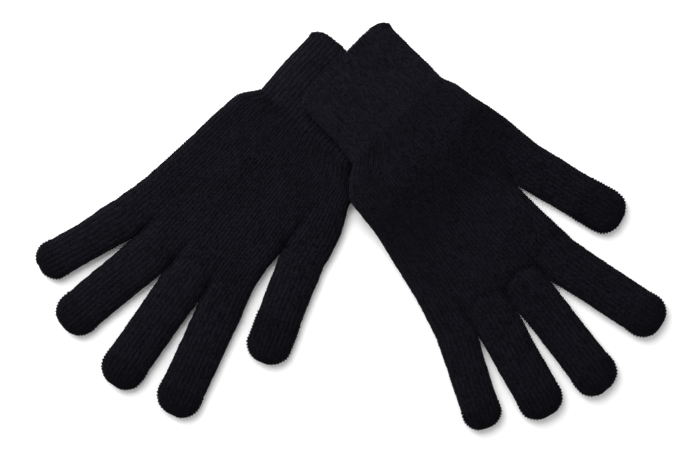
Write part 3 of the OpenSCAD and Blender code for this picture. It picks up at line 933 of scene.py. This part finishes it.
def raise_stitches(hand, sheet, under, seed, edges):
    """Stitch relief, sway and creases on one sheet. edges says which side columns are edges."""
    lay = hand.lay
    tt, vv, z = sheet
    shape = tt.shape
    vv = vv + slide_along(*shape)
    if not under:
        z = z - crease_depth(hand, tt, vv)
    smooth = lay.world(*unsettle(tt, vv, lay.side), z)
    normal = square_to(smooth, False) * (-1 if under else 1)
    height = stitch_height(*shape, seed)
    if not under:
        height = height + wander(tt, vv, SWAY_SEED) * SWAY * np.clip(normal[..., 2], 0, 1)
    for col, out, rows in edges:
        normal[rows, col] = lay.thumbward * out
        height[rows, col] = stitch_height(*shape, EDGE_SEED)[rows, 0]
    return on_table(smooth + normal * height[..., None])


def hand_piece(hand):
    """Back and palm, each with its thumb strip, welded into one bag."""
    side = hand.lay.side
    bm = bmesh.new()
    all_rows, thumb_rows = slice(None), slice(0, hand.thumb_row + 1)
    for under in (False, True):
        main, thumb = hand_sheet(hand, under)
        seed = seed_of(side + "hand" + str(under))
        points = raise_stitches(hand, main, under, seed,
                                [(0, -1, all_rows), (-1, 1, slice(hand.thumb_row, None))])
        thumb_points = raise_stitches(hand, thumb, under, seed + 1, [(-1, 1, all_rows)])
        thumb_points[:, 0] = points[thumb_rows, -1]
        add_sheet(bm, points, flip=under)
        add_sheet(bm, thumb_points, sum(FINGER_WALES[n] for n in FINGERS), flip=under)
    return finish_piece(bm, side + "_hand_knit", PLAIN, [side + "_hand"])


# %% [markdown]
# The hand starts at the wrist fold, where it is given a longer stretch than a finger,
# because it is wider and stiffer.

# %% Knit the hands
HAND_BEND = 0.022                   # the stretch past the wrist fold that bend_at is given
HANDS = {side: Hand(lay) for side, lay in LAYS.items()}
for side, hand in HANDS.items():
    bend_at(hand_piece(hand), JOINTS[side + "_wrist_fold"], HAND_BEND)

# %% [markdown]
# ## The cuff
# The same wales carry on into the cuff, where every second one is sunk: a one-by-one rib,
# which is what makes a cuff narrow and springy. The cuff is a plain tube. Its hem is turned
# over the mouth, so it is a tube too, whose rows run from inside, round the edge, and back
# over the outside. The elastic band is a third tube, within the cuff. Array and Solidify
# modifiers could make ribs, but one tube function for all three keeps their wales in line.

# %% One tube of the cuff
WALES_ROUND = sum(FINGER_WALES.values())
print(WALES_ROUND, "wales over the cuff and as many under it")
CORNER, CORNER_POWER, CORNER_REACH = 0.0040, 9, 0.014           # the mouth's rounded corners
CORNER_MOST = 1.05                  # and a little more on the hem, which reaches past the mouth


def cuff_tube(lay, name, nodes, v, half, rise, rib, cloth=RIBBED, slide=True):
    """One tube of the cuff, with a row at each distance v from the mouth."""
    x, g = whole_ring(CUFF_TOP, CUFF_UNDER, WALES_ROUND)
    shape = len(v), len(x)
    tt, z = x[None] * half[:, None], g[None] * rise[:, None]
    corner = np.clip(1 - v[:, None] / CORNER_REACH, 0, CORNER_MOST)
    vv = v[:, None] + CORNER * np.abs(x[None]) ** CORNER_POWER * corner
    if slide:
        vv = vv + slide_along(*shape)
    points = knit_tube(lay, tt, vv, z, stitch_height(*shape, seed_of(name), rib=rib))
    return tube_piece(name, points, v[0] / COURSE, cloth, nodes)


# %% [markdown]
# The hem's turn is drawn as a short outline, from inside the mouth to the outside: how far
# each row is from the mouth, and how far out. The band is as big as the frame says.

# %% Cuff, hem and elastic
RIB = 0.5                           # how far ribs stand out, in reliefs
CUFF_START = 0.0036                 # the cuff's first row, under the turned hem
HEM_TURN = np.array([[0.011, -0.0017], [0.006, -0.0016], [0.002, -0.0015], [0.0006, -0.0012],
                     [-0.0003, -0.0006], [-0.0006, 0.0], [-0.0003, 0.0004], [0.0006, 0.0006],
                     [0.0018, 0.0007], [0.0030, 0.0006], [0.0038, 0.0003], [0.0042, -0.0001]])
HEM_RISE = 0.4                      # the hem stands out less in height than to the sides
BAND_ROWS, BAND_RIB = 17, 0.3


def cuff_pieces(lay):
    """The cuff, its turned mouth edge, and the elastic band inside."""
    side = lay.side
    rows = course_rows(lay.cuff_end - CUFF_START) + 1
    yield cuff_tube(lay, side + "_cuff_knit", [side + "_cuff"],
                    np.linspace(CUFF_START, lay.cuff_end, rows),
                    np.full(rows, lay.cuff_half), np.full(rows, RISE), RIB)
    out = HEM_TURN[:, 1]
    hem_rise = RISE + np.minimum(out, 0.0) + np.maximum(out, 0) * HEM_RISE
    yield cuff_tube(lay, side + "_hem_knit", [side + "_cuff_hem"],
                    HEM_TURN[:, 0], lay.cuff_half + out, hem_rise, RIB * 0.5, slide=False)
    band = lay.local(node_points(side + "_cuff_elastic"))
    wide, _, high = np.ptp(band, axis=0) / 2
    yield cuff_tube(lay, side + "_elastic_band", [side + "_cuff_elastic"],
                    np.linspace(band[:, 1].min(), band[:, 1].max(), BAND_ROWS),
                    np.full(BAND_ROWS, wide), np.full(BAND_ROWS, high),
                    BAND_RIB, ELASTIC, slide=False)


# %% [markdown]
# ## The wrist
# The wrist joins two rings that are already fixed: the cuff's last and the hand's first. Each
# of its rows is a mixture of the two, so the wales widen smoothly from rib to plain knit, and
# the sunk wales of the rib rise again on the way. Bridging the two rings would join them as
# well, but with one long face a column and no stitches between.

# %% Wrist
def heel_ring(hand):
    """The hand's first row, over the back and round under the palm."""
    halves = []
    for under in (False, True):
        main, thumb = hand_sheet(hand, under)
        halves.append([np.concatenate([m[0], th[0][1:]]) for m, th in zip(main, thumb)])
    return [np.concatenate([over, below[::-1][1:]]) for over, below in zip(*halves)]


def wrist_piece(hand):
    """A short tube from the cuff's last ring to the hand's first."""
    lay = hand.lay
    x, g = whole_ring(CUFF_TOP, CUFF_UNDER, WALES_ROUND)
    end_t, _, end_z = heel_ring(hand)
    length = lay.fold - lay.cuff_end
    f = np.linspace(0, 1, course_rows(length) + 1)[:, None]
    wide, soft = np.sin(f * math.pi / 2) ** 1.1, ease(f)
    tt = x[None] * lay.cuff_half * (1 - wide) + end_t[None] * wide
    z = g[None] * RISE * (1 - soft) + end_z[None] * soft
    vv = np.repeat(lay.cuff_end + f * length, tt.shape[1], 1)
    seed = seed_of(lay.side + "wrist")
    height = (stitch_height(*tt.shape, seed, rib=RIB) * (1 - soft)
              + stitch_height(*tt.shape, seed) * soft)
    points = knit_tube(lay, tt, vv + slide_along(*tt.shape), z, height)
    return tube_piece(lay.side + "_wrist_knit", points, lay.cuff_end / COURSE, PLAIN,
                      [lay.side + "_wrist"])


# %% [markdown]
# These four pieces don't fold: they ride on the cuff's own body.

# %% Knit the cuffs and wrists
for side, lay in LAYS.items():
    for piece in (*cuff_pieces(lay), wrist_piece(HANDS[side])):
        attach(piece, side + "_cuff_body")

# %% [markdown]
# ## The table
# A plain white surface, a hair's breadth under the gloves, and wide enough that its edge is
# never seen. It isn't part of the gloves.

# %% Table
TABLE_HALF, TABLE_Z, TABLE_WHITE = 3.0, -0.0001, 0.93
bm = bmesh.new()
bmesh.ops.create_grid(bm, x_segments=1, y_segments=1, size=TABLE_HALF)
mesh = bpy.data.meshes.new("table")
bm.to_mesh(mesh)
bm.free()
table = bpy.data.objects.new("table", mesh)
table.location = (0, 0, TABLE_Z)
bpy.context.collection.objects.link(table)
white = bpy.data.materials.new("white table")
white.use_nodes = True
paint = white.node_tree.nodes["Principled BSDF"].inputs
paint["Base Color"].default_value = (TABLE_WHITE, TABLE_WHITE, TABLE_WHITE, 1)
paint["Roughness"].default_value = 0.9
table.data.materials.append(white)
print("table %.0f m across" % (2 * TABLE_HALF))
